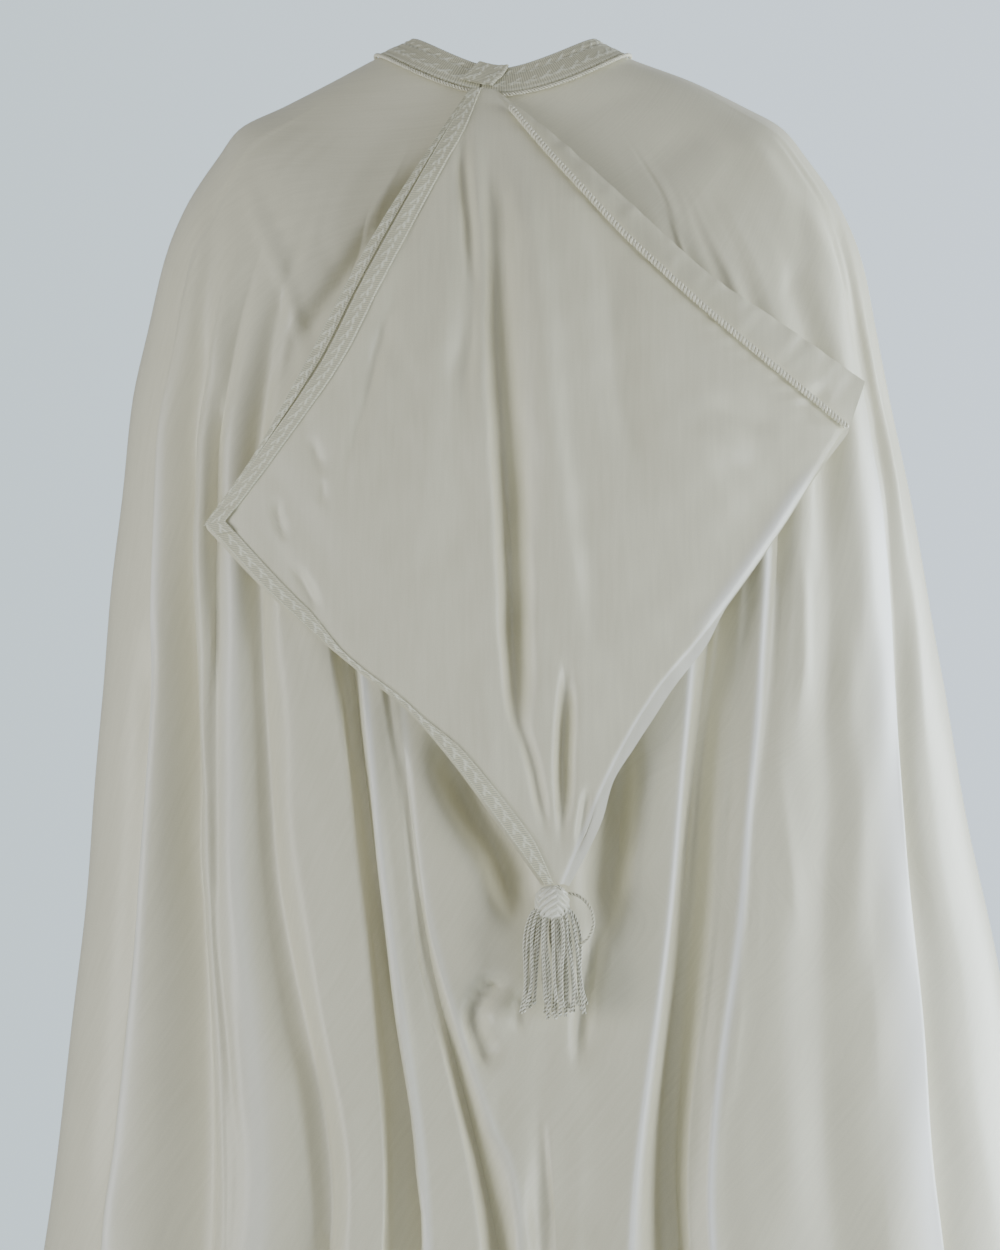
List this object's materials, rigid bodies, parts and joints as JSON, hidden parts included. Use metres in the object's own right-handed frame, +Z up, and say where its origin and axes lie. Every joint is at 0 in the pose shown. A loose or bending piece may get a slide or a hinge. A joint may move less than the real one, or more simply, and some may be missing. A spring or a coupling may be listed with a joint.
{
  "type": "burnous hooded cloak",
  "caption": "Worn hooded cloak of draped cream cloth, open down the front, with a flat hood, braid trims and a tassel.",
  "frame": {"origin": "middle of the neck at the height of the nape, where the wearer's neck and shoulders hold the cloak", "axes": "+Z up from the hem to the neck, +Y the way the wearer faces, +X the wearer's right"},
  "size_m": [0.904, 0.6125, 1.4436],
  "materials": {
    "ivory_crepe": "smooth cream satin-back crepe with a soft sheen",
    "braid": "woven off-white braid with raised satin floats",
    "twisted_cord": "twisted off-white cord",
    "tassel_silk": "glossy twisted silk strands"
  },
  "bodies": {
    "root": {"cloak_cloth": "ivory_crepe", "neck_band_left": "braid", "neck_band_right": "braid", "neck_cord_left": "twisted_cord", "neck_cord_right": "twisted_cord", "chest_closure": "braid", "hood_outer_layer": "ivory_crepe", "hood_under_layer": "ivory_crepe", "hood_seam_cord": "twisted_cord", "hood_face_braid_outer": "braid", "hood_face_braid_under": "braid", "hood_lower_braid": "braid", "hood_corner_wrap": "braid", "hood_top_wrap": "braid", "tassel": "tassel_silk", "tassel_loop": "twisted_cord"}
  },
  "joints": []
}
